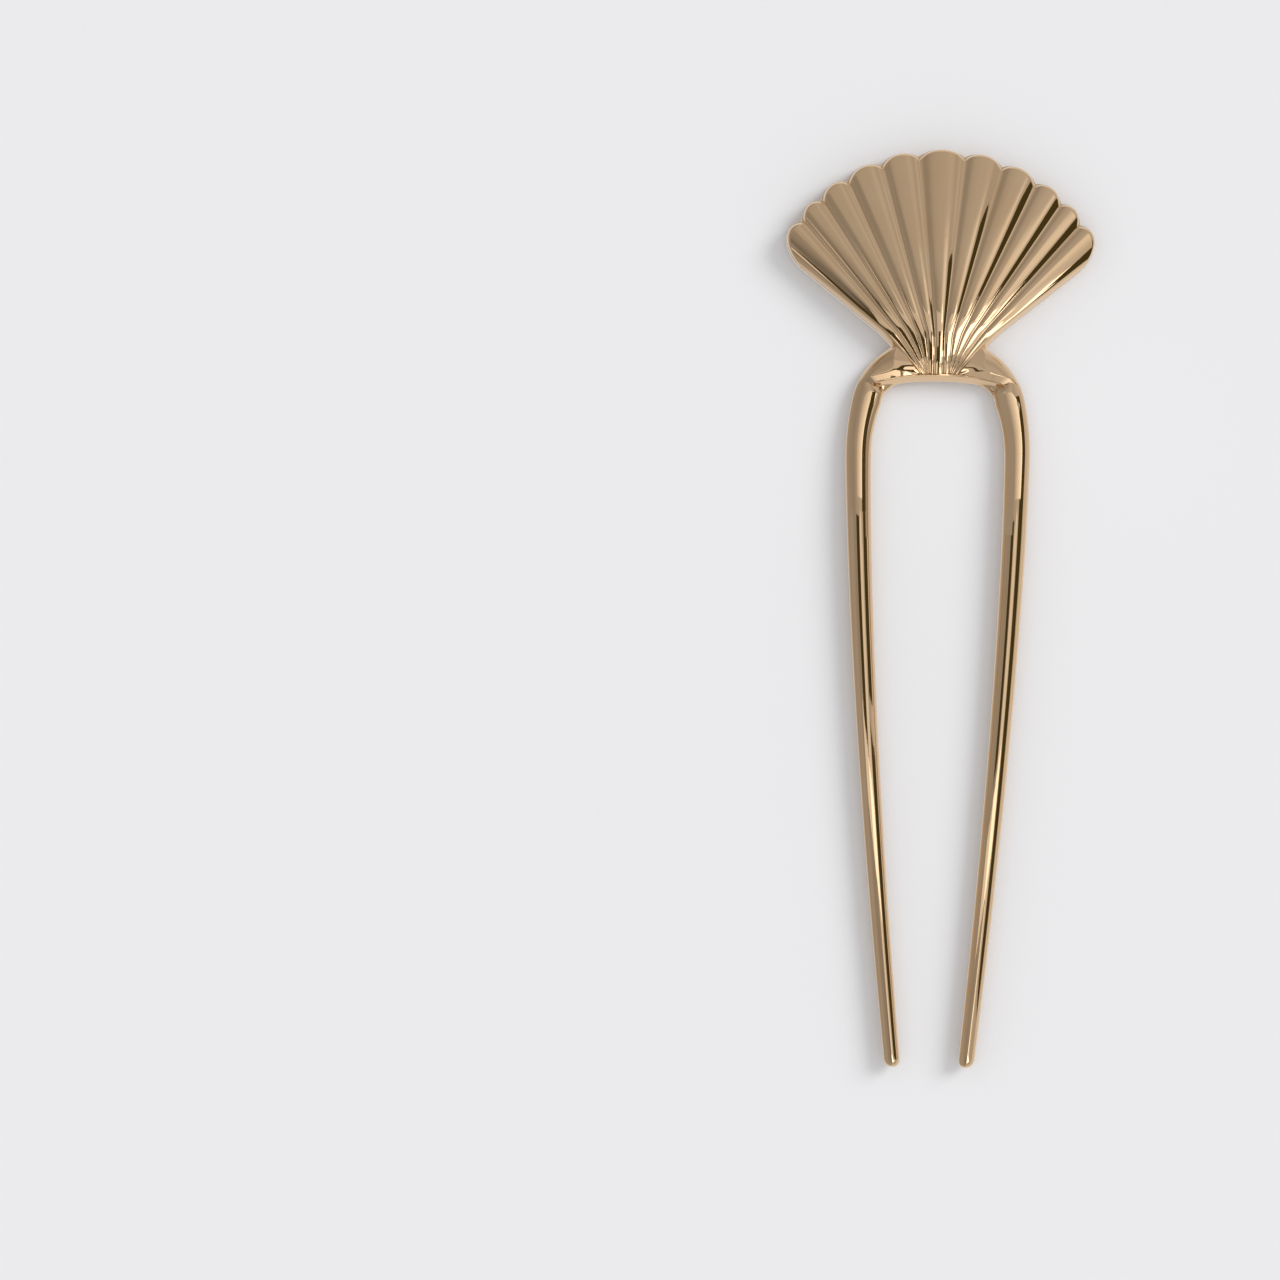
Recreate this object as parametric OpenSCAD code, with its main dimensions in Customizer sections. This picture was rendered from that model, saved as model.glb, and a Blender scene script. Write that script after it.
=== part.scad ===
// French hair pin: a fan-shaped scallop shell on two long tapering prongs, cast in one piece.
// It lies on its flat back: +X to the right, +Y from the prong tips to the shell, +Z up.
// The origin is at the middle of its length and width, on the plane that it lies on.

/* [Whole pin] */
// Length from the prong tips to the top of the middle lobe
pin_len = 122; // [112:1:132]

/* [Shell] */
// Radius of the arc that the ends of the lobes reach
shell_arc_r = 24.2; // [23:0.2:26]
// Angle from the centre line to either straight side of the fan
fan_half_angle = 51.2; // [48:0.2:52]
// How far the end of each lobe stands out past the notches beside it
lobe_bulge = 0.85; // [0.4:0.05:1.2]
// Height of the lobes above the grooves between them, at the outer end
lobe_relief = 0.95; // [0.5:0.05:1.3]
// Height of the grooves at their highest, halfway along the fan
groove_top = 3.1; // [2.6:0.1:3.6]
// Thickness of the plate behind the lobes
plate_t = 1.4; // [1:0.1:1.8]
// Width of the plate's rim that shows outside the lobes
plate_rim = 0.2; // [0.1:0.05:0.4]

/* [Shoulders and bridge] */
// Distance from the bridge's front edge up to the top of the middle lobe
head_len = 30.1; // [29:0.1:31]
// Height of the crisp front edge of the bridge
bridge_h = 2.9; // [2.4:0.1:3.2]
// Thickness of the sunk web between the bridge, the shoulder and the shell
web_t = 1.5; // [1:0.1:2]

/* [Prongs] */
// Diameter of a prong at its widest, below the shoulder
prong_d = 3.4; // [2.8:0.1:3.5]
// Diameter of a prong where its rounded tip begins
tip_d = 2.1; // [1.6:0.1:2.6]
// Distance between the centre lines of the prongs where they stand widest apart
prong_spread = 21.1; // [19.1:0.2:22.5]
// Distance between the centre lines of the prongs at the tips
tip_spread = 9.7; // [8:0.2:14]

/* [Hidden] */

// The apex is the point where the grooves would meet, a little under the bridge's edge.
apex_y = pin_len / 2 - 30.9;
arc_centre_y = pin_len / 2 - shell_arc_r - plate_rim;
hub_r = 1;

// Angles of the grooves from the centre line, from the middle lobe outwards.
groove_angles = [5.85, 15.7, 25.4, 33.8, 41.2];
lobe_borders = concat(
    [-fan_half_angle],
    [for (i = [4:-1:0]) -groove_angles[i]],
    groove_angles,
    [fan_half_angle]);
lobe_count = len(lobe_borders) - 1;
lobe_steps = 8;
row_count = 14;

// Distance from the apex to the arc of radius arc_r, at an angle from the centre line.
function reach(angle, arc_r) =
    let (up = arc_centre_y - apex_y)
    up * cos(angle) + sqrt(pow(arc_r, 2) - pow(up * sin(angle), 2));

// The outermost lobes round off towards the straight sides; out runs from 0 to 1 across one.
corner_start = -0.45;
corner_drop = 0.12;
function corner(out) =
    out <= corner_start ? 1
    : 1 - corner_drop * (1 - sqrt(1 - pow((out - corner_start) / (1 - corner_start), 2)));

// Each column runs out along one angle: [angle, place across its lobe from -1 to 1, its reach].
function column(lobe, step) =
    let (
        low = lobe_borders[lobe],
        high = lobe_borders[lobe + 1],
        across = sin(90 * (2 * step / lobe_steps - 1)),
        angle = (low + high) / 2 + across * (high - low) / 2,
        is_end = lobe == 0 || lobe == lobe_count - 1,
        out = lobe == 0 ? -across : across,
        lobe_end = reach(angle, shell_arc_r - lobe_bulge) + lobe_bulge * (1 - across * across))
    [angle, across, is_end ? lobe_end * corner(out) : lobe_end];
columns = concat(
    [for (lobe = [0:lobe_count - 1]) for (step = [0:lobe_steps - 1]) column(lobe, step)],
    [column(lobe_count - 1, lobe_steps)]);
column_count = len(columns);

// Height of the lobes' surface, without the rounding at their ends.
full_r = reach(0, shell_arc_r);
crest_r = 17;
hub_groove_h = 2.1;
edge_groove_drop = 0.8;
side_drop = 0.5;
function groove_h(r, angle) =
    hub_groove_h + (groove_top - hub_groove_h) * sin(90 * min(1, r / crest_r))
    - edge_groove_drop * pow(max(0, (r - crest_r) / (full_r - crest_r)), 2)
    - side_drop * pow(angle / fan_half_angle, 2) * r / full_r;
function relief(r) = lobe_relief * sqrt(r / full_r);
function lobe_h(r, angle, across) =
    groove_h(r, angle) + relief(r) * (1 - pow(abs(across), 3));

// The lobes round down to the plate over the last end_round of their length.
end_round = 2.2;
lobe_base = plate_t - 0.3;
function end_fall(d) = sqrt(1 - pow(1 - min(1, d / end_round), 2));
function lobe_point(col, row) =
    let (
        along = sin(90 * row / (row_count - 1)),
        r = hub_r + (col[2] - hub_r) * along,
        z = lobe_base + (lobe_h(r, col[0], col[1]) - lobe_base) * end_fall(col[2] - r))
    [r * sin(col[0]), apex_y + r * cos(col[0]), row == row_count - 1 ? lobe_base : z];
function hub_point(col) =
    [hub_r * sin(col[0]), apex_y + hub_r * cos(col[0]), lobe_base];

// Fluted front of the shell: a grid of columns and rows closed by its sides and its base.
module lobes() {
    top = [for (col = columns) for (row = [0:row_count - 1]) lobe_point(col, row)];
    hub = [for (col = columns) hub_point(col)];
    hub_start = len(top);
    last_col = column_count - 1;
    top_faces = [for (c = [0:last_col - 1]) for (r = [0:row_count - 2]) for (half = [0, 1])
        half == 0
        ? [c * row_count + r, c * row_count + r + 1, (c + 1) * row_count + r + 1]
        : [c * row_count + r, (c + 1) * row_count + r + 1, (c + 1) * row_count + r]];
    hub_faces = [for (c = [0:last_col - 1]) for (half = [0, 1])
        half == 0
        ? [hub_start + c, c * row_count, (c + 1) * row_count]
        : [hub_start + c, (c + 1) * row_count, hub_start + c + 1]];
    left_face = concat([hub_start], [for (r = [row_count - 1:-1:0]) r]);
    right_face = concat(
        [for (r = [0:row_count - 1]) last_col * row_count + r],
        [hub_start + last_col]);
    base_face = concat(
        [for (c = [0:last_col]) hub_start + c],
        [for (c = [last_col:-1:0]) c * row_count + row_count - 1]);
    polyhedron(
        points = concat(top, hub),
        faces = concat(top_faces, hub_faces, [left_face, right_face, base_face]),
        convexity = 6);
}

// Flat plate behind the lobes, a little wider than they are, so that its rim shows.
module plate() {
    outline = [for (col = columns) [col[2] * sin(col[0]), apex_y + col[2] * cos(col[0])]];
    hub_side = hub_r * [sin(fan_half_angle), cos(fan_half_angle)];
    linear_extrude(plate_t)
        offset(r = plate_rim, $fn = 16)
            polygon(concat(
                outline,
                [[hub_side[0], apex_y + hub_side[1]], [-hub_side[0], apex_y + hub_side[1]]]));
}

// Each prong follows one line from its tip up, round the shoulder and into the shell's side.
widest_y = pin_len / 2 - 40.8;
prong_tip_y = -pin_len / 2;
lean = 1.5;
prong_mid_h = prong_d / 2 + 0.03;
ring_sides = 16;

function down(y) = max(0, (widest_y - y) / (widest_y - prong_tip_y));
function prong_x(y) = prong_spread / 2 - (prong_spread - tip_spread) / 2 * pow(down(y), lean);
function prong_w(y) = prong_d - (prong_d - tip_d) * down(y);
function prong_lean(y) =
    -atan((prong_spread - tip_spread) / 2 * lean / (widest_y - prong_tip_y)
        * pow(down(y), lean - 1));

// Above its widest place the outer side follows two arcs: a slight rise, then the shoulder.
rise_r = 35.6;
rise_turn = 12.3;
bend_r = 9.9;
bend_turn = 53;
shoulder_run = 4;
corner_w = 4.3;
shoulder_w = 3.5;
shoulder_h = 2.3;

widest_out = [(prong_spread + prong_d) / 2, widest_y];
rise_out = widest_out + rise_r * [cos(rise_turn) - 1, sin(rise_turn)];
bend_out = rise_out
    + bend_r * [cos(bend_turn) - cos(rise_turn), sin(bend_turn) - sin(rise_turn)];
run_out = bend_out + shoulder_run * [-sin(bend_turn), cos(bend_turn)];

// A station is [x, y, mid height, width, height, turn from +Y to the left].
function inside(out, turn, w, h) =
    [out[0] - w / 2 * cos(turn), out[1] - w / 2 * sin(turn), prong_mid_h - (prong_d - h) / 2,
        w, h, turn];
tip_stations = [for (a = [6:18:78])
    let (
        d = tip_d * sin(a),
        y = prong_tip_y + tip_d / 2 * (1 - cos(a)))
    [prong_x(y), y, prong_mid_h, d, d, 0]];
long_stations = [for (i = [0:15])
    let (y = prong_tip_y + tip_d / 2 + (widest_y - prong_tip_y - tip_d / 2) * i / 15)
    [prong_x(y), y, prong_mid_h, prong_w(y), prong_w(y), prong_lean(y)]];
rise_stations = [for (i = [1:3])
    let (turn = rise_turn * i / 4)
    inside(
        widest_out + rise_r * [cos(turn) - 1, sin(turn)],
        turn, prong_d + (corner_w - prong_d) * pow(i / 4, 2), prong_d)];
bend_stations = [for (i = [0:7])
    let (turn = rise_turn + (bend_turn - rise_turn) * i / 7)
    inside(
        rise_out + bend_r * [cos(turn) - cos(rise_turn), sin(turn) - sin(rise_turn)],
        turn, corner_w + (shoulder_w - corner_w) * i / 7,
        prong_d + (shoulder_h - prong_d) * i / 7)];
run_station = [inside(run_out, bend_turn, shoulder_w, shoulder_h)];
prong_stations = concat(tip_stations, long_stations, rise_stations, bend_stations, run_station);

function ring(s) = [for (k = [0:ring_sides - 1])
    let (
        side = s[3] / 2 * cos(360 * k / ring_sides),
        up = s[4] / 2 * sin(360 * k / ring_sides))
    [s[0] + side * cos(s[5]), s[1] + side * sin(s[5]), s[2] + up]];

module prong() {
    rings = [for (s = prong_stations) for (p = ring(s)) p];
    last = len(prong_stations) - 1;
    walls = [for (i = [0:last - 1]) for (k = [0:ring_sides - 1]) for (half = [0, 1])
        let (
            a = i * ring_sides + k,
            b = i * ring_sides + (k + 1) % ring_sides)
        half == 0 ? [a, b, b + ring_sides] : [a, b + ring_sides, a + ring_sides]];
    polyhedron(
        points = rings,
        faces = concat(
            walls,
            [[for (k = [ring_sides - 1:-1:0]) k]],
            [[for (k = [0:ring_sides - 1]) last * ring_sides + k]]),
        convexity = 4);
}

// The bridge's front edge droops in an arc from the middle to the prongs.
bridge_y = pin_len / 2 - head_len;
bridge_half = 9.4;
bridge_droop = 1.2;
bridge_slices = 12;
slice_t = 0.4;

// Its section, from the back edge underneath round the front: [behind the front edge, up].
belly = 0.78;
bridge_back = 0.9;
bridge_section = [
    [-0.2 * belly, 0],
    [-0.8 * belly, 0.2 * bridge_h],
    [-belly, 0.45 * bridge_h],
    [-0.8 * belly, 0.8 * bridge_h],
    [0, bridge_h],
    [bridge_back, web_t - 0.2],
    [bridge_back, 0]];

module bridge_slice(i) {
    x = -bridge_half + 2 * bridge_half * i / bridge_slices;
    y = bridge_y - bridge_droop * pow(abs(x) / bridge_half, 2.6);
    translate([x - slice_t / 2, y, 0])
        rotate([90, 0, 90])
            linear_extrude(slice_t)
                polygon(bridge_section);
}

module bridge() {
    for (i = [0:bridge_slices - 1])
        hull() {
            bridge_slice(i);
            bridge_slice(i + 1);
        }
}

// Sunk web that fills the corners between the bridge, the shoulders and the shell's sides.
module web() {
    leg_x = rise_out[0] - corner_w / 2;
    tuck = bend_out - shoulder_w * [0.25, 0.3];
    linear_extrude(web_t)
        polygon([
            [-leg_x, bridge_y - 0.9],
            [0, bridge_y],
            [leg_x, bridge_y - 0.9],
            tuck,
            tuck + [-2, 2],
            [2 - tuck[0], tuck[1] + 2],
            [-tuck[0], tuck[1]]]);
}

module cast_pin() {
    color("tan")
        union() {
            plate();
            lobes();
            bridge();
            web();
            prong();
            mirror([1, 0, 0]) prong();
        }
}

cast_pin();
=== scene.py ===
from math import atan, cos, pi, radians, sin, sqrt, tan

import bmesh
import bpy
from mathutils import Matrix, Vector


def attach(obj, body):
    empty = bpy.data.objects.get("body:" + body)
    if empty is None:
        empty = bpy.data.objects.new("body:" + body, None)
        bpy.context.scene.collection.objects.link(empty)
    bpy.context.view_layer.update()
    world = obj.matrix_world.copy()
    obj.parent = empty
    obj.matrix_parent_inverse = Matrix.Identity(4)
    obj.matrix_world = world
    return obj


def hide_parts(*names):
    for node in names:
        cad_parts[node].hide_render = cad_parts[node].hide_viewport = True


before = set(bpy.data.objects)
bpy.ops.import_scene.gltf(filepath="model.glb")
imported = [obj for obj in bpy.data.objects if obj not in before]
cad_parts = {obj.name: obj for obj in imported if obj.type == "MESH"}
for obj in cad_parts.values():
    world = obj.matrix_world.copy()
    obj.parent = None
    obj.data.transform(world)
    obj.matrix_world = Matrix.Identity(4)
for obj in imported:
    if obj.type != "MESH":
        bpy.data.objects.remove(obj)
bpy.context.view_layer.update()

# Shell: eleven convex lobes that fan out from the bridge, on a flat plate whose rim shows
# at the notches between them. It is cast in one piece with the prongs, of zinc alloy, so it is
# the first of the forms that are fused into the casting further down. Sizes in millimetres.
MM = 0.001
PIN_LEN = 122
APEX_Y = PIN_LEN / 2 - 30.9
SHELL_ARC_R = 24.2
PAST_ARC = 0.2
ARC_CENTRE_UP = PIN_LEN / 2 - SHELL_ARC_R - PAST_ARC - APEX_Y
LOBE_BULGE = 0.85
CORNER_START = -0.45
CORNER_DROP = 0.12
# grooves: angle in degrees, and how far from the centre line each meets the bridge, since it
# runs straight out from the apex but flares towards its foot
GROOVES = [(5.85, 0.7), (15.7, 1.38), (25.4, 1.47), (33.8, 1.56), (41.2, 1.7), (51.2, 2.9)]
BORDERS = [(-a, -x) for a, x in reversed(GROOVES)] + GROOVES
LOBE_COUNT = len(BORDERS) - 1
HUB_UP = 0.8
FLARE_UP = 6.4
FLARE_POWER = 1.15
COLUMNS = 28
ROWS = 72
PLATE_T = 1.4
RIM = 0.06
NOTCH_LEDGE = 0.3
SIDE_ANGLE = radians(51.2)


def reach(angle):
    """Distance from the apex to the arc on which the lobes' notches lie."""
    arc_r = SHELL_ARC_R - LOBE_BULGE
    return ARC_CENTRE_UP * cos(angle) + sqrt(arc_r**2 - (ARC_CENTRE_UP * sin(angle)) ** 2)


def flared(angle, hub_x, up):
    """How far to the right a line at that angle is, at a height above the apex."""
    flare = max(0, (FLARE_UP - up) / (FLARE_UP - HUB_UP)) ** FLARE_POWER
    return up * tan(angle) + (hub_x - HUB_UP * tan(angle)) * flare


class Column:
    """One column of the lobes' grid, which runs out from the bridge at one angle.

    across goes from -1 to 1 over its lobe, and outer is the same towards the shell's side on
    the two lobes that stand there.
    """

    def __init__(self, i):
        self.lobe = min(i // COLUMNS, LOBE_COUNT - 1)
        self.across = sin(pi * ((i - self.lobe * COLUMNS) / COLUMNS - 0.5))
        share = (self.across + 1) / 2
        (low, low_x), (high, high_x) = BORDERS[self.lobe], BORDERS[self.lobe + 1]
        self.angle = radians(low + share * (high - low))
        self.hub_x = low_x + share * (high_x - low_x)
        self.outer = {0: -self.across, LOBE_COUNT - 1: self.across}.get(self.lobe, -1)
        tip = reach(self.angle) + LOBE_BULGE * (1 - self.across**2)
        if self.outer > CORNER_START:
            turn = (self.outer - CORNER_START) / (1 - CORNER_START)
            tip *= 1 - CORNER_DROP * (1 - sqrt(max(0, 1 - turn**2)))
        self.silhouette = tip + PAST_ARC
        self.end = self.silhouette - RIM - NOTCH_LEDGE * self.across**4
        self.start = HUB_UP / cos(self.angle)

    def point(self, r):
        """The point at a distance from the apex."""
        up = r * cos(self.angle)
        return Vector((flared(self.angle, self.hub_x, up), APEX_Y + up))

    def width(self, r):
        """The lobe's width at a distance from the apex."""
        up = r * cos(self.angle)
        low, high = (
            flared(radians(a), x, up) for a, x in (BORDERS[self.lobe], BORDERS[self.lobe + 1])
        )
        return (high - low) * cos(self.angle)


# The shell's face is lowest at the hub over the bridge, where it is slightly crowned, and is
# highest at CREST_R from the apex. Its two outer sides fall away.
CREST_R = 14.5
HUB_H = 2.3
HUB_SIDE_RISE = 0.2
HUB_POWER = 2
CROWN = 0.035
CROWN_R = 9
PIT_R = 3.6
PIT_DROP = 0.22
GROOVE_TOP = 3.3
EDGE_DROP = 0.4
RELIEF = 0.189
RELIEF_POWER = 0.8
SECTION_POWER = 3.6
FILLET = 0.8
END_ROUND = 0.5
SIDE_ROUND = 0.6
SIDE_ROUND_SHARE = 0.6
SIDE_DROP = 0.03
SIDE_POWER = 4.8
FULL_R = reach(0) + LOBE_BULGE


def profile(across):
    """Height across one lobe, from 1 on its crest down into the rounded groove."""
    a = abs(across)
    if a <= FILLET:
        return 1 - a**SECTION_POWER
    run = a - FILLET
    fall = SECTION_POWER * FILLET ** (SECTION_POWER - 1) * (run - run**2 / 2 / (1 - FILLET))
    return 1 - FILLET**SECTION_POWER - fall


def quarter(d, size):
    """A quarter-round rise from 0 at an edge to 1 at the distance size from it."""
    return sqrt(max(0, 1 - (1 - min(1, d / size)) ** 2))


def lobe_height(col, r):
    """Height of the shell's face at a distance from the apex along one column."""
    width = col.width(r)
    hub = HUB_H + HUB_SIDE_RISE * (col.hub_x / BORDERS[-1][1]) ** 2
    groove = (
        GROOVE_TOP
        - (GROOVE_TOP - hub) * max(0, 1 - r / CREST_R) ** HUB_POWER
        - PIT_DROP * max(0, 1 - r / PIT_R) ** 2
        - CROWN * col.point(r).x ** 2 * max(0, 1 - r / CROWN_R)
        - EDGE_DROP * max(0, (r - CREST_R) / (FULL_R - CREST_R)) ** 2
        - SIDE_DROP * r * (abs(col.angle) / SIDE_ANGLE) ** SIDE_POWER
    )
    z = groove + RELIEF * width**RELIEF_POWER * profile(col.across)
    if col.outer > -1:
        from_side = (1 - col.outer) / 2 * width
        z = PLATE_T + (z - PLATE_T) * quarter(from_side, min(SIDE_ROUND, SIDE_ROUND_SHARE * width))
    return PLATE_T + (z - PLATE_T) * quarter(col.end - r, END_ROUND)


columns = [Column(i) for i in range(LOBE_COUNT * COLUMNS + 1)]
last = len(columns) - 1
shell = bmesh.new()
home = shell.verts.layers.float_vector.new("home")
rim = shell.verts.layers.float_vector.new("rim")
bmesh.ops.create_grid(shell, x_segments=last, y_segments=ROWS, size=1)
for v in shell.verts:
    i, along = round((v.co.x + 1) / 2 * last), (v.co.y + 1) / 2
    col = columns[i]
    r = col.start + (col.end - col.start) * sin(pi / 2 * along)
    out = Vector((0, 0))
    if along > 0.999:
        out += col.point(col.silhouette) - col.point(r)
    if i in (0, last):
        turn = 1 if i else -1
        out += RIM * Vector((turn * cos(SIDE_ANGLE), -sin(SIDE_ANGLE)))
    v.co = *col.point(r), lobe_height(col, r)
    v[home], v[rim] = v.co, (*out, 0)


def boundary(bm):
    """The open edges of a form."""
    return [e for e in bm.edges if e.is_boundary]


def new_verts(result):
    """The vertices that an operator has made."""
    return [g for g in result["geom"] if isinstance(g, bmesh.types.BMVert)]


# rim: share of its width, height; the ledge, its rounded edge, the plate's wall and the back
RIM_STEPS = [(0.4, PLATE_T), (0.85, 1.37), (1, 1.28), (1, 0.12), (0.9, 0.03), (0.6, 0)]
for share, z in RIM_STEPS:
    for v in new_verts(bmesh.ops.extrude_edge_only(shell, edges=boundary(shell))):
        v.co = v[home] + share * v[rim]
        v.co.z = z
bmesh.ops.holes_fill(shell, edges=boundary(shell))


def form(bm, name):
    """A closed form in millimetres becomes an object in metres, with its faces outwards."""
    bmesh.ops.remove_doubles(bm, verts=bm.verts, dist=1e-5)
    bmesh.ops.recalc_face_normals(bm, faces=bm.faces)
    bmesh.ops.scale(bm, vec=(MM, MM, MM), verts=bm.verts)
    mesh = bpy.data.meshes.new(name)
    bm.to_mesh(mesh)
    bm.free()
    obj = bpy.data.objects.new(name, mesh)
    bpy.context.scene.collection.objects.link(obj)
    return obj


def other_side(obj, name):
    """The same form, mirrored to the other side of the pin."""
    bm = bmesh.new()
    bm.from_mesh(obj.data)
    bmesh.ops.scale(bm, vec=(-1 / MM, 1 / MM, 1 / MM), verts=bm.verts)
    return form(bm, name)


shell_form = form(shell, "shell_form")

# Prongs and shoulders: each is one round rod that tapers to a rounded tip. At the top it
# turns inwards round the shoulder, flattens, and runs into the side of the shell.
PRONG_D = 3.4
TIP_D = 2.1
PRONG_SPREAD = 21.1
TIP_SPREAD = 9.7
WIDEST_Y = PIN_LEN / 2 - 40.8
PRONG_TIP_Y = -PIN_LEN / 2
LEAN = 1.5
MID_H = PRONG_D / 2 + 0.03
RISE_R = 35.6
RISE_TURN = radians(12.3)
BEND_R = 9.9
BEND_TURN = radians(53)
SHOULDER_RUN = 4
CORNER_W = 3.9
SHOULDER_W = 3.5
SHOULDER_H = 1.9
FLAT_FROM_Y = 12.6
FLAT_SLOPE = 0.045
RING_SIDES = 48
TIP_FROM = radians(6)
TIP_TURN = radians(78)
TIP_STEPS = 8
LEG_STEPS = 90
RISE_STEPS = 16
BEND_STEPS = 24
RUN_STEPS = 8
FALL_FROM_Y = 29.5
FALL_RUN = 2
LEG_IN = (PRONG_SPREAD - TIP_SPREAD) / 2
LEG_LEN = WIDEST_Y - PRONG_TIP_Y


def blend(t):
    """A smooth step from 0 to 1."""
    t = min(1, max(0, t))
    return t * t * (3 - 2 * t)


def leg_station(y):
    """The rod's middle, width, height and turn at y, up to where the prongs stand widest."""
    down = max(0, (WIDEST_Y - y) / LEG_LEN)
    x = PRONG_SPREAD / 2 - LEG_IN * down**LEAN
    turn = -atan(LEG_IN * LEAN / LEG_LEN * down ** (LEAN - 1))
    d = PRONG_D - (PRONG_D - TIP_D) * down
    return x, y, d, d - FLAT_SLOPE * max(0, y - FLAT_FROM_Y), turn


def inside(out, turn, w, h):
    """A station whose outer side is at out."""
    return out.x - w / 2 * cos(turn), out.y - w / 2 * sin(turn), w, h, turn


widest = Vector(((PRONG_SPREAD + PRONG_D) / 2, WIDEST_Y))
rise_end = widest + RISE_R * Vector((cos(RISE_TURN) - 1, sin(RISE_TURN)))


def on_bend(turn):
    """A point on the outer side of the shoulder's bend."""
    return rise_end + BEND_R * Vector((cos(turn) - cos(RISE_TURN), sin(turn) - sin(RISE_TURN)))


stations = []
for i in range(TIP_STEPS + 1):
    a = TIP_FROM + TIP_TURN * i / TIP_STEPS
    x, y, *_ = leg_station(PRONG_TIP_Y + TIP_D / 2 * (1 - cos(a)))
    stations.append((x, y, TIP_D * sin(a), TIP_D * sin(a), 0))
for i in range(LEG_STEPS + 1):
    up = (LEG_LEN - TIP_D / 2) * i / LEG_STEPS
    stations.append(leg_station(PRONG_TIP_Y + TIP_D / 2 + up))
for i in range(1, RISE_STEPS):
    t = i / RISE_STEPS
    out = widest + RISE_R * Vector((cos(RISE_TURN * t) - 1, sin(RISE_TURN * t)))
    h = PRONG_D - FLAT_SLOPE * (out.y - FLAT_FROM_Y)
    stations.append(inside(out, RISE_TURN * t, PRONG_D + (CORNER_W - PRONG_D) * t**2, h))
for i in range(BEND_STEPS + 1):
    t = i / BEND_STEPS
    turn = RISE_TURN + (BEND_TURN - RISE_TURN) * t
    out = on_bend(turn)
    h = PRONG_D - FLAT_SLOPE * (rise_end.y - FLAT_FROM_Y)
    h -= (h - SHOULDER_H) * blend((out.y - FALL_FROM_Y) / FALL_RUN)
    stations.append(inside(out, turn, CORNER_W + (SHOULDER_W - CORNER_W) * t, h))
bend_end = out
run_end = bend_end + SHOULDER_RUN * Vector((-sin(BEND_TURN), cos(BEND_TURN)))
for i in range(1, RUN_STEPS + 1):
    out = bend_end + (run_end - bend_end) * i / RUN_STEPS
    stations.append(inside(out, BEND_TURN, SHOULDER_W, SHOULDER_H))


def ring_matrix(station):
    """Puts a circle of radius 1 round the rod, upright and across its run."""
    x, y, w, h, turn = station
    sunk = (w - h) / 2 if y < WIDEST_Y else (PRONG_D - h) / 2
    return (
        Matrix.Translation((x, y, MID_H - sunk))
        @ Matrix.Rotation(turn, 4, "Z")
        @ Matrix.Rotation(pi / 2, 4, "X")
        @ Matrix.Diagonal((w / 2, h / 2, 1, 1))
    )


prong = bmesh.new()
first = ring_matrix(stations[0])
bmesh.ops.create_circle(prong, segments=RING_SIDES, radius=1, cap_ends=True, matrix=first)
ring = boundary(prong)
for before, after in zip(stations, stations[1:]):
    made = bmesh.ops.extrude_edge_only(prong, edges=ring)
    ring = [g for g in made["geom"] if isinstance(g, bmesh.types.BMEdge)]
    turn_on = ring_matrix(after) @ ring_matrix(before).inverted()
    bmesh.ops.transform(prong, matrix=turn_on, verts=new_verts(made))
bmesh.ops.contextual_create(prong, geom=ring)
prong_form = form(prong, "prong_form")
other_form = other_side(prong_form, "other_prong_form")

# Bridge: the bar that joins the tops of the prongs under the shell. Its front rolls over to
# a crisp ridge, and its inner corners are filled with a low ledge. It is part of the casting.
BRIDGE_Y = 30.92
BRIDGE_H = 2.9
BRIDGE_HALF = 10
BRIDGE_STEPS = 40
BOW = 1.35
BOW_HALF = 9.7
BOW_POWER = 2.2
FRONT_ROLL = 0.8
FRONT_STEP_SHARE = 0.95
LEDGE_H = 1.9
LEDGE_FOOT_H = 1
CORNER_FROM = 4.8
CORNER_X = 2.6
CORNER_Y = 1.9
# steps down of the ridge: height, from x, over a run
RIDGE_STEPS = [(0.18, 3.5, 2.5), (0.85, 8.2, 2)]
STEP_SHARES = (0, 0.05, 0.1, 0.2, 0.3, 0.4, 0.5, 0.6, 0.75, 0.9, 1)
LEDGE_SHARES = (0.25, 0.5, 0.7, 0.85, 0.96)


def rolled(d, roll):
    """Height of the bridge's front where it rolls over, at a distance before the ridge."""
    return LEDGE_FOOT_H + (LEDGE_H - LEDGE_FOOT_H) * sqrt(1 - (d / roll) ** 2)


def bridge_section(x):
    """The section's points at x, from the back underneath round the front: y and height."""
    a = abs(x)
    ridge = BRIDGE_Y - BOW * (a / BOW_HALF) ** BOW_POWER
    corner = CORNER_Y * (1 - sqrt(max(0, 1 - min(1, max(0, a - CORNER_FROM) / CORNER_X) ** 2)))
    roll = FRONT_ROLL + corner
    h = BRIDGE_H - sum(down * blend((a - start) / run) for down, start, run in RIDGE_STEPS)
    step_run = FRONT_STEP_SHARE * FRONT_ROLL
    front = []
    for share in STEP_SHARES:
        d = step_run * share
        step = (h - LEDGE_H) * (1 - blend(share))
        front.append((ridge - d, rolled(d, roll) + step))
    for share in LEDGE_SHARES:
        d = step_run + (roll - step_run) * share
        front.append((ridge - d, rolled(d, roll)))
    low = [(ridge - 0.5 * roll, 0), (ridge - 0.9 * roll, 0.4), (ridge - roll, LEDGE_FOOT_H)]
    return [(ridge + 0.5, 0), *low, *reversed(front), (ridge + 0.08, h), (ridge + 0.5, 1.2)]


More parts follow.
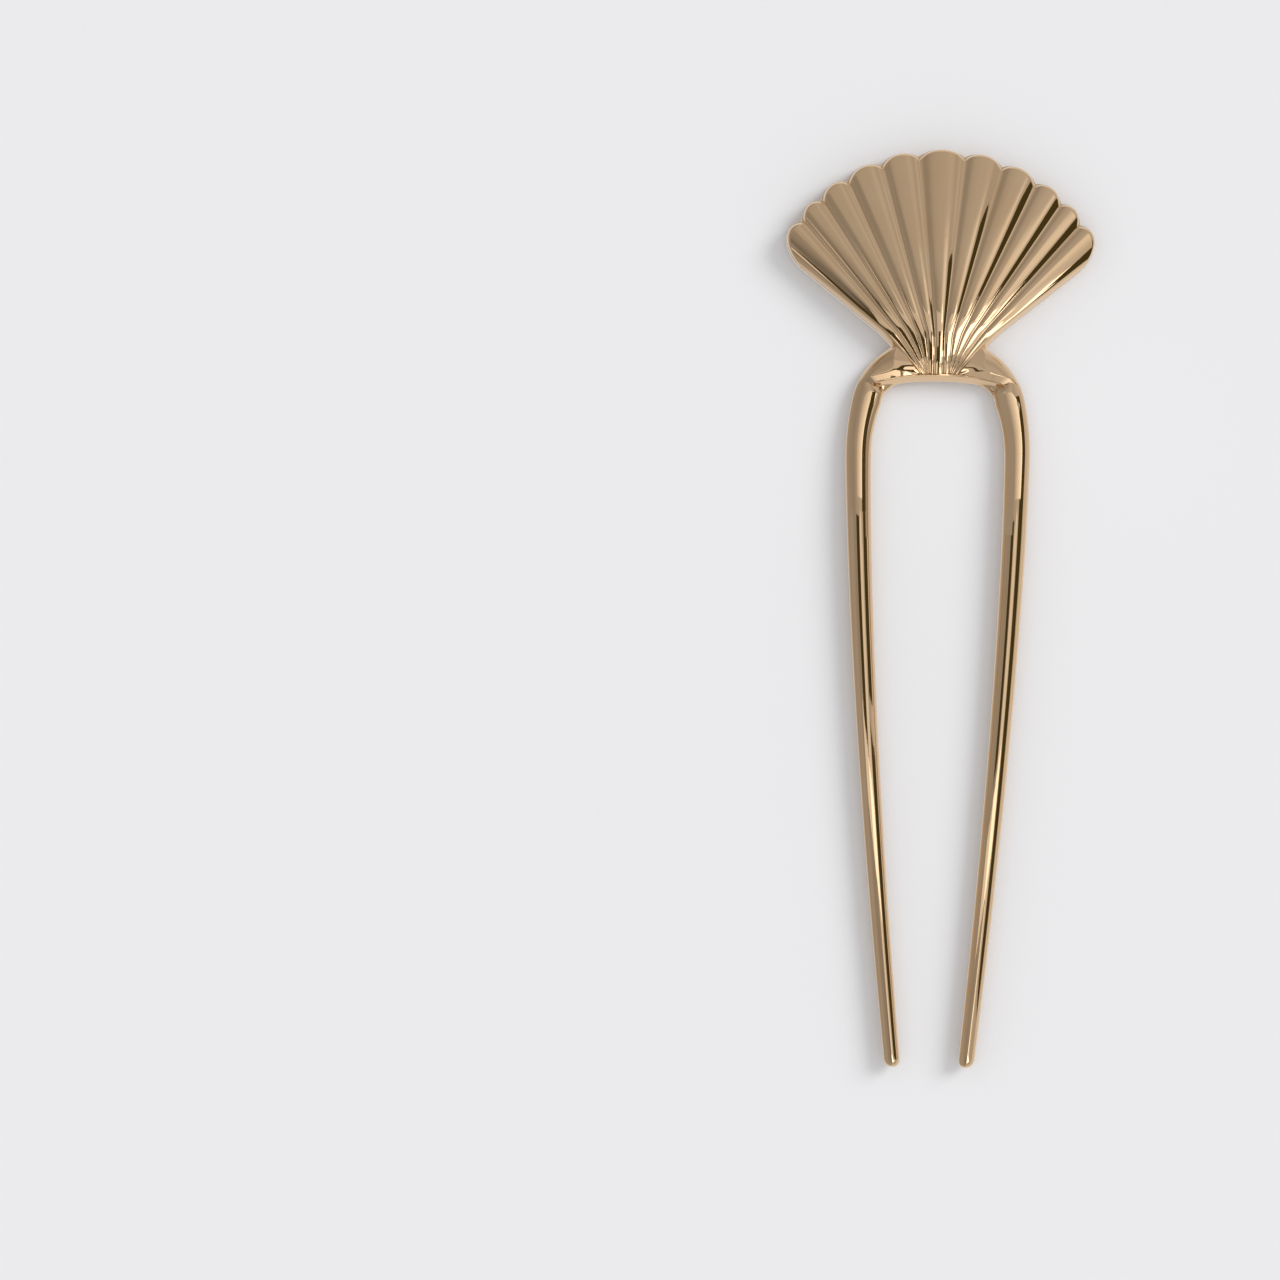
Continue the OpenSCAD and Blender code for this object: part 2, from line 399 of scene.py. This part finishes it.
bridge = bmesh.new()
xs = [BRIDGE_HALF * sin(pi / 2 * i / BRIDGE_STEPS) for i in range(-BRIDGE_STEPS, BRIDGE_STEPS + 1)]
count = len(bridge_section(0))
bmesh.ops.create_circle(bridge, segments=count, radius=1, cap_ends=True)
ring = boundary(bridge)
slot_id = bridge.verts.layers.int.new("slot_id")
bridge.verts.ensure_lookup_table()
for k, v in enumerate(bridge.verts):
    v[slot_id] = k
    v.co = xs[0], *bridge_section(xs[0])[k]
for x in xs[1:]:
    made = bmesh.ops.extrude_edge_only(bridge, edges=ring)
    ring = [g for g in made["geom"] if isinstance(g, bmesh.types.BMEdge)]
    for v in new_verts(made):
        v.co = x, *bridge_section(x)[v[slot_id]]
bmesh.ops.contextual_create(bridge, geom=ring)
bridge_form = form(bridge, "bridge_form")


# Shoulder faces: the top of each shoulder climbs from its outer side to a crest. From there a
# narrow strip leads gently down to the ridge of the bridge. It is part of the casting as well.
# keys: share of the way up, crest x, y, height, foot x, y, height
SHOULDER_KEYS = [
    (0, 10.35, 29.3, 1.9, 10.0, 29.4, 1.88),
    (0.12, 9.75, 30.2, 2.42, 9.2, 29.75, 2.36),
    (0.25, 9.0, 30.6, 2.73, 8.5, 29.95, 2.67),
    (0.38, 8.2, 30.88, 2.79, 7.6, 30.2, 2.72),
    (0.5, 7.3, 31.12, 2.8, 6.4, 30.45, 2.72),
    (0.6, 6.4, 31.4, 2.8, 5.0, 30.65, 2.62),
    (0.7, 5.95, 31.7, 2.8, 2.7, 30.95, 2.45),
    (0.8, 5.95, 32.4, 2.77, 3.3, 31.9, 2.7),
    (0.9, 6.0, 33.3, 2.72, 4.1, 33.0, 2.7),
    (1, 5.6, 34.9, 2.5, 5.0, 34.6, 2.5),
]
UP_STEPS = 48
FLANK_STEPS = 12
STRIP_STEPS = 10
TUCK_STEPS = 2
TUCK_OUT = 0.06
TUCK_DOWN = 0.25
OUTLINE_INSET = 0.02
FLANK_FOOT = 0.95
FACE_TURN = radians(20)
FACE_BEND_SHARE = 0.7
FACE_RUN = 3
FACE_UNDERSIDE = 0.05


def between(keys, t):
    """The values at t on a smooth curve through the keys."""
    i = max(k for k in range(len(keys) - 1) if keys[k][0] <= t)
    before, low, high, after = (keys[min(max(k, 0), len(keys) - 1)] for k in range(i - 1, i + 3))
    u = (t - low[0]) / (high[0] - low[0])
    return [
        b + u * (c - a + u * (2 * a - 5 * b + 4 * c - d + u * (3 * (b - c) + d - a))) / 2
        for a, b, c, d in zip(before[1:], low[1:], high[1:], after[1:])
    ]


def outline_at(t):
    """The shoulder's outer side, a little inset: round the bend, then straight to the shell."""
    turn = min(BEND_TURN, FACE_TURN + (BEND_TURN - FACE_TURN) * t / FACE_BEND_SHARE)
    past_bend = max(0, t - FACE_BEND_SHARE) / (1 - FACE_BEND_SHARE)
    out = on_bend(turn) + past_bend * FACE_RUN * Vector((-sin(BEND_TURN), cos(BEND_TURN)))
    return out - OUTLINE_INSET * Vector((cos(turn), sin(turn)))


across_steps = FLANK_STEPS + STRIP_STEPS + TUCK_STEPS
face = bmesh.new()
bmesh.ops.create_grid(face, x_segments=across_steps, y_segments=UP_STEPS, size=1)
for v in face.verts:
    j, t = round((v.co.x + 1) / 2 * across_steps), (v.co.y + 1) / 2
    crest_x, crest_y, crest_z, foot_x, foot_y, foot_z = between(SHOULDER_KEYS, min(t, 1))
    side, crest, foot = outline_at(t), Vector((crest_x, crest_y)), Vector((foot_x, foot_y))
    if j <= FLANK_STEPS:
        u = 1 - cos(pi / 2 * j / FLANK_STEPS)
        v.co = *side.lerp(crest, u), FLANK_FOOT + (crest_z - FLANK_FOOT) * quarter(u, 1)
    else:
        u = min(1, (j - FLANK_STEPS) / STRIP_STEPS)
        tuck = max(0, j - FLANK_STEPS - STRIP_STEPS)  # these turn down into the casting
        v.co = *crest.lerp(foot, u), crest_z + (foot_z - crest_z) * u
        v.co += tuck * Vector((*(TUCK_OUT * (foot - crest).normalized()), -TUCK_DOWN))
for v in new_verts(bmesh.ops.extrude_edge_only(face, edges=boundary(face))):
    v.co.z = FACE_UNDERSIDE
bmesh.ops.holes_fill(face, edges=boundary(face))
face_form = form(face, "shoulder_face_form")
other_face_form = other_side(face_form, "other_shoulder_face_form")

# Casting: the forms above, fused into the one solid that the real pin is, since all of it is
# cast at once. Where two forms meet at a steep angle, the polished metal keeps a crisp edge.
SHARP_FROM = radians(32)
others = (bridge_form, prong_form, other_form, face_form, other_face_form)
for part in others:
    join = shell_form.modifiers.new("fuse", "BOOLEAN")
    join.operation, join.solver, join.object = "UNION", "MANIFOLD", part
fused = shell_form.evaluated_get(bpy.context.evaluated_depsgraph_get())
mesh = bpy.data.meshes.new_from_object(fused)
mesh.name = "cast_pin_visual"
pin = bpy.data.objects.new("gold_pin", mesh)
bpy.context.scene.collection.objects.link(pin)
for part in (shell_form, *others):
    bpy.data.objects.remove(part)
mesh.shade_smooth()
mesh.set_sharp_from_angle(angle=SHARP_FROM)

# Gold plating: a thin layer of pale warm gold, plated on the casting after it had been
# polished in a tumbling drum. The eye sees a mirror that is a little soft: the tumbling has
# left the surface faintly uneven over a few millimetres, and the gold slightly redder in places.
PLATE_GOLD = "EDCEAA"
WORN_GOLD = "E9C498"
SWELL_MM = 5
SWELL_DEPTH_MM = 0.05
SWELL_STRENGTH = 0.2
POLISH_MM = 0.35
SHEEN_LOW = 0.035
SHEEN_HIGH = 0.055


def linear(hex_colour):
    """An sRGB hex colour as the linear values that a shader takes."""
    parts = [int(hex_colour[i : i + 2], 16) / 255 for i in (0, 2, 4)]
    return (*(c / 12.92 if c <= 0.04045 else ((c + 0.055) / 1.055) ** 2.4 for c in parts), 1)


def node(tree, kind, settings=None, **inputs):
    """Adds a node to the tree, with its settings and its inputs' values or links."""
    made = tree.nodes.new("ShaderNode" + kind)
    for key, value in (settings or {}).items():
        setattr(made, key, value)
    for key, value in inputs.items():
        socket = made.inputs[int(key[1:]) if key[1:].isdigit() else key.replace("_", " ")]
        if isinstance(value, bpy.types.NodeSocket):
            tree.links.new(value, socket)
        else:
            socket.default_value = value
    return made


gold = bpy.data.materials.new("tumbled_gold_plating")
gold.use_nodes = True
tree = gold.node_tree
shader = tree.nodes["Principled BSDF"]
place = node(tree, "TexCoord").outputs["Object"]
swell = node(tree, "TexNoise", Vector=place, Scale=1 / (SWELL_MM * MM), Detail=2).outputs["Fac"]
grain = node(tree, "TexNoise", Vector=place, Scale=1 / (POLISH_MM * MM), Detail=2).outputs["Fac"]
tone = node(
    tree, "Mix", {"data_type": "RGBA"}, Factor=swell, _6=linear(PLATE_GOLD), _7=linear(WORN_GOLD)
)
sheen = node(
    tree, "MapRange", Value=grain, From_Min=0.3, From_Max=0.7, To_Min=SHEEN_LOW, To_Max=SHEEN_HIGH
)
waves = node(
    tree, "Bump", Strength=SWELL_STRENGTH, Distance=SWELL_DEPTH_MM * MM, Height=swell
)
tree.links.new(tone.outputs[2], shader.inputs["Base Color"])
tree.links.new(sheen.outputs["Result"], shader.inputs["Roughness"])
tree.links.new(waves.outputs["Normal"], shader.inputs["Normal"])
shader.inputs["Metallic"].default_value = 1
mesh.materials.clear()
mesh.materials.append(gold)
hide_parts("cast_pin")
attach(pin, "root")

# Studio floor: a plain sheet of pale matt card, on which the pin lies flat. The metal doesn't
# mirror it, so that the tent and the cards alone set what its flanks show.
FLOOR_GREY = "EFEFF1"
FLOOR_HALF = 3
FLOOR_ROUGHNESS = 0.9
floor_mesh = bpy.data.meshes.new("floor")
sheet = bmesh.new()
bmesh.ops.create_grid(sheet, x_segments=1, y_segments=1, size=FLOOR_HALF)
sheet.to_mesh(floor_mesh)
sheet.free()
floor = bpy.data.objects.new("floor", floor_mesh)
bpy.context.scene.collection.objects.link(floor)
matt = bpy.data.materials.new("matt_card")
matt.use_nodes = True
matt.node_tree.nodes["Principled BSDF"].inputs["Base Color"].default_value = linear(FLOOR_GREY)
matt.node_tree.nodes["Principled BSDF"].inputs["Roughness"].default_value = FLOOR_ROUGHNESS
floor_mesh.materials.append(matt)
floor.visible_glossy = False

# Studio light: a pale tent round the pin, open at the front where the camera stands, with one
# soft lamp high on the right for the shadow. Polished metal shows the tent itself, so its
# brightness is set by direction: across is the angle to the right of straight up, along the
# angle towards the shell, both in degrees.
TENT_FOR_FLOOR = 0.7
# the angles along between which the upper tent fades into the lower one
UPPER_FROM = 2
LOWER_FROM = -1.5
BACKDROP = "EAEAEC"
# brightness by the angle across, above the head of the pin and towards its tips
UPPER_TENT = [
    (-180, 0.75), (-135, 0.65), (-118, 0.4), (-80, 0.36), (-60, 0.34), (-45, 0.33), (-35, 0.35),
    (-22, 0.41), (-10, 0.46), (0, 0.48), (12, 0.55), (22, 0.53), (32, 0.47), (45, 0.48),
    (55, 0.56), (65, 0.6), (85, 0.6), (120, 0.75), (180, 0.75),
]
LOWER_TENT = [
    (-180, 0.75), (-135, 0.6), (-115, 0.36), (-85, 0.4), (-65, 0.4), (-48, 0.34), (-36, 0.31),
    (-28, 0.31), (-10, 0.34), (0, 0.4), (3, 0.45), (6, 0.7), (14, 0.74), (22, 0.6), (29, 0.5),
    (40, 0.45), (75, 0.5), (90, 0.78), (105, 0.65), (130, 0.85), (180, 0.75),
]
world = bpy.data.worlds.new("tent")
world.use_nodes = True
bpy.context.scene.world = world
tree = world.node_tree
ray = node(tree, "SeparateXYZ", Vector=node(tree, "TexCoord").outputs["Generated"])
x, y, z = (ray.outputs[axis] for axis in "XYZ")


def angle(operation, *values):
    """An angle in degrees that the tent's brightness goes by."""
    inputs = {f"_{i}": value for i, value in enumerate(values)}
    found = node(tree, "Math", {"operation": operation}, **inputs)
    return node(tree, "Math", {"operation": "DEGREES"}, _0=found.outputs[0]).outputs[0]


across, along = angle("ARCTAN2", x, z), angle("ARCSINE", y)
azimuth, off_zenith = angle("ARCTAN2", y, x), angle("ARCCOSINE", z)


def tent_round(stops):
    """The tent's brightness all the way round, from its stops."""
    turn = node(tree, "MapRange", Value=across, From_Min=-180, From_Max=180)
    ramp = node(tree, "ValToRGB", Fac=turn.outputs[0])
    stop_list = ramp.color_ramp.elements
    for at, _ in stops[1:-1]:
        stop_list.new((at + 180) / 360)
    for stop, (at, shine) in zip(stop_list, stops):
        stop.position, stop.color = (at + 180) / 360, (shine, shine, shine, 1)
    return ramp.outputs[0]


def window(value, low, high, soft):
    """1 between two angles, fading to 0 within soft degrees outside them."""
    half = (high - low) / 2
    off = node(tree, "Math", {"operation": "SUBTRACT"}, _0=value, _1=low + half)
    away = node(tree, "Math", {"operation": "ABSOLUTE"}, _0=off.outputs[0])
    fade = {"interpolation_type": "SMOOTHSTEP"}
    made = node(tree, "MapRange", fade, _0=away.outputs[0], _1=half, _2=half + soft, _3=1, _4=0)
    return made.outputs[0]


def over(share, below, above):
    """One brightness laid over another."""
    return node(tree, "Mix", {"data_type": "RGBA"}, _0=share, _6=below, _7=above).outputs[2]


def grey(shine):
    """A neutral light of that brightness."""
    return shine, shine, shine, 1


def both(a, b):
    """The share where two windows overlap."""
    return node(tree, "Math", {"operation": "MULTIPLY"}, _0=a, _1=b).outputs[0]


to_lower = node(tree, "MapRange", Value=along, From_Min=UPPER_FROM, From_Max=LOWER_FROM)
tent = over(to_lower.outputs[0], tent_round(UPPER_TENT), tent_round(LOWER_TENT))
# Patches on the tent: a pale one next to the camera, its dark opening with the darkest part in
# the middle, and a lit soft box to the right of that.
for first, first_span, second, second_span, shine in [
    (across, (9, 17, 6), along, (-3, 1, 4), 0.85),
    (across, (-16, 1, 4), along, (-40, -8, 4), 0.2),
    (across, (-9, 1, 2), along, (-18, -9, 2), 0.1),
    (azimuth, (-84, -31, 3), off_zenith, (9, 42, 2), 2.2),
]:
    tent = over(both(window(first, *first_span), window(second, *second_span)), tent, grey(shine))
ray_kind = node(tree, "LightPath")
seen = over(ray_kind.outputs["Is Glossy Ray"], grey(TENT_FOR_FLOOR), tent)
seen = over(ray_kind.outputs["Is Camera Ray"], seen, linear(BACKDROP))
tree.links.new(seen, tree.nodes["Background"].inputs["Color"])

LAMP_POWER = 1.45
LAMP_SPREAD = radians(30)
LAMP_TURN = (0, radians(55), radians(31))
lamp = bpy.data.lights.new("key_lamp", "SUN")
lamp.energy = LAMP_POWER
lamp.angle = LAMP_SPREAD
key = bpy.data.objects.new("key_lamp", lamp)
key.rotation_euler = LAMP_TURN
key.visible_glossy = False
bpy.context.scene.collection.objects.link(key)

# Cards round the pin, which only the metal sees. Two dark ones stand at the right. The others hang
# overhead: far ones for the whole pin, low ones for the tops of the prongs, with an upright one
# between the two prongs' cards for each of them, and small ones for the foot of the shell.
# cards: name, middle and half size in millimetres, light at the left and the right side
DARK = (0.062, 0.052, 0.018, 1)
CARDS = [
    ("near_wall", (70, 18.5, 65), (1, 28.5, 40), DARK, DARK),
    ("far_wall", (175, -49, 172), (1, 36, 113), DARK, DARK),
    ("dark_bar", (-37, -4, 120), (29, 19, 1), DARK, DARK),
    ("middle_card", (46, -8, 200), (45, 20, 1), grey(0.8), grey(0.8)),
    ("lower_card", (28, -39, 200), (60, 10, 1), grey(1.6), grey(1.6)),
    ("left_card", (-100, -39, 200), (67, 10, 1), grey(0.85), grey(0.85)),
    ("left_rod_card", (-8.2, 22.8, 15), (5.8, 7, 0.1), grey(0.5), grey(1.3)),
    ("right_rod_card", (13, 23.4, 15), (8, 7.6, 0.1), grey(0.35), grey(1.35)),
    ("left_rod_wall", (-7, 21, 6.2), (0.1, 8, 2), DARK, DARK),
    ("right_rod_wall", (6.5, 19.6, 6.8), (0.1, 9.6, 4.3), grey(0.38), grey(0.38)),
    ("hub_dark_card", (-7.8, 24.5, 30), (9.2, 6.5, 0.1), DARK, DARK),
    ("hub_pale_card", (-4.5, 33.9, 30), (7.5, 2.7, 0.1), grey(0.6), grey(0.7)),
    ("hub_white_card", (8.3, 29.4, 30), (6.7, 3.4, 0.1), grey(2.5), grey(2.5)),
    ("hub_low_card", (24.5, 24, 30), (9.5, 6, 0.1), grey(2.5), grey(2.5)),
    ("hub_middle_card", (0, 33, 12), (0.7, 2.5, 0.1), DARK, DARK),
    ("left_wedge_card", (-4.3, 31.5, 8), (1.6, 0.35, 0.05), DARK, DARK),
    ("right_wedge_card", (4.4, 31.1, 7.5), (1.4, 0.25, 0.05), DARK, DARK),
    ("right_face_card", (4.3, 31.1, 8), (2.7, 1.3, 0.05), grey(0.55), grey(0.55)),
]
for name, middle, half, left, right in CARDS:
    card_mesh = bpy.data.meshes.new(name)
    card = bmesh.new()
    bmesh.ops.create_cube(card, size=2 * MM)
    bmesh.ops.scale(card, vec=half, verts=card.verts)
    bmesh.ops.translate(card, vec=Vector(middle) * MM, verts=card.verts)
    card.to_mesh(card_mesh)
    card.free()
    card_obj = bpy.data.objects.new(name, card_mesh)
    bpy.context.scene.collection.objects.link(card_obj)
    card_face = bpy.data.materials.new(name + "_face")
    card_face.use_nodes = True
    tree = card_face.node_tree
    tree.nodes.clear()
    place = node(tree, "SeparateXYZ", Vector=node(tree, "TexCoord").outputs["Generated"])
    glow = node(tree, "Emission", Color=over(place.outputs["X"], left, right))
    node(tree, "OutputMaterial", Surface=glow.outputs["Emission"])
    card_mesh.materials.append(card_face)
    card_obj.visible_camera = card_obj.visible_diffuse = card_obj.visible_shadow = False

# Camera: a long lens straight above the pin, which lies right of the picture's middle. It is
# turned by the photograph's slight tilt.
LENS = 150
SENSOR = 36
CAMERA_AT = (-39.18, -4.79, 710)
CAMERA_TURN = radians(0.82)
camera_data = bpy.data.cameras.new("camera")
camera_data.lens = LENS
camera_data.sensor_width = SENSOR
camera = bpy.data.objects.new("camera", camera_data)
camera.location = Vector(CAMERA_AT) * MM
camera.rotation_euler = (0, 0, CAMERA_TURN)
bpy.context.scene.collection.objects.link(camera)
bpy.context.scene.camera = camera
bpy.context.scene.view_settings.view_transform = "Standard"
